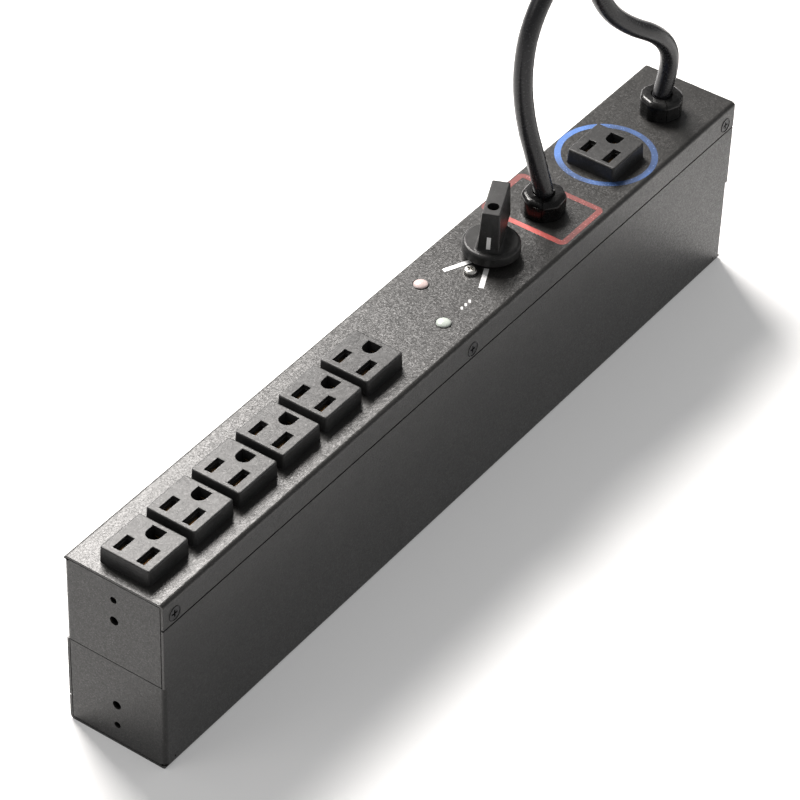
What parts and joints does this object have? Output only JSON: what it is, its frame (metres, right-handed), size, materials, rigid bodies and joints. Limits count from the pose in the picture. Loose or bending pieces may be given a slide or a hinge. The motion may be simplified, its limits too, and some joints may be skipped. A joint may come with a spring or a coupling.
{
  "type": "rack power distribution unit",
  "caption": "Slim black rack power unit with a row of grounded outlets, an input socket, a rotary bypass selector, indicator lamps and moulded power cords",
  "frame": {"origin": "centre of the underside of the housing", "axes": "+X along the housing towards its cord end, +Y the rear long side, +Z out of the outlet face"},
  "size_m": [0.795, 0.063, 0.2684],
  "materials": {
    "board_green": "matte",
    "brass_strip": "satin",
    "cord_jacket": "satin",
    "gloss_black": "glossy",
    "housing_black": "satin",
    "led_red": "glossy",
    "lens_amber": "glossy",
    "lens_green": "glossy",
    "moulded_black": "matte",
    "nickel": "satin",
    "screw_black": "satin",
    "switch_grey": "matte",
    "white_fill": "matte",
    "wire_black": "satin",
    "wire_green": "satin",
    "wire_white": "satin"
  },
  "bodies": {
    "housing": {"board_standoffs": "nickel", "bottom_tray": "housing_black", "bypass_lamp_lens": "lens_amber", "front_flange_screws": "screw_black", "ground_bus_strip": "brass_strip", "ground_nut": "nickel", "ground_stud": "nickel", "ground_washer": "nickel", "indicator_board": "board_green", "indicator_leds": "led_red", "input_backplate": "switch_grey", "input_base": "moulded_black", "input_ground_contact": "brass_strip", "input_line_contact": "brass_strip", "input_neutral_contact": "brass_strip", "line_bus_strip": "brass_strip", "neutral_bus_strip": "brass_strip", "outlet_1": "moulded_black", "outlet_2": "moulded_black", "outlet_3": "moulded_black", "outlet_4": "moulded_black", "outlet_5": "moulded_black", "outlet_6": "moulded_black", "outlet_backplate": "switch_grey", "outlet_bases": "moulded_black", "outlet_ground_wire": "wire_green", "outlet_line_wire": "wire_black", "outlet_neutral_wire": "wire_white", "output_cord": "cord_jacket", "output_cord_hank": "cord_jacket", "output_cord_inner_end": "cord_jacket", "output_cord_tail": "cord_jacket", "output_ground_wire": "wire_green", "output_line_wire": "wire_black", "output_neutral_wire": "wire_white", "output_plug": "gloss_black", "output_plug_pins": "brass_strip", "output_strain_relief": "gloss_black", "ready_lamp_lens": "lens_green", "rear_flange_screws": "screw_black", "supply_cord": "cord_jacket", "supply_cord_hank": "cord_jacket", "supply_cord_inner_end": "cord_jacket", "supply_cord_tail": "cord_jacket", "supply_ground_wire": "wire_green", "supply_line_wire": "wire_black", "supply_neutral_wire": "wire_white", "supply_plug": "gloss_black", "supply_plug_pins": "brass_strip", "supply_strain_relief": "gloss_black", "switch_body": "switch_grey", "switch_mounting_screws": "nickel", "switch_terminal_screws": "brass_strip", "top_cover": "housing_black", "ups_input_socket": "moulded_black"},
    "selector": {"switch_shaft": "nickel", "selector_knob": "moulded_black", "knob_pointer": "white_fill", "knob_screw": "nickel"}
  },
  "joints": [
    {"name": "selector_turn", "type": "hinge", "parent": "housing", "child": "selector", "pos_m": [0.05, 0, 0.093], "axis": [0, 0, 1], "range_deg": [-48, 0]}
  ]
}
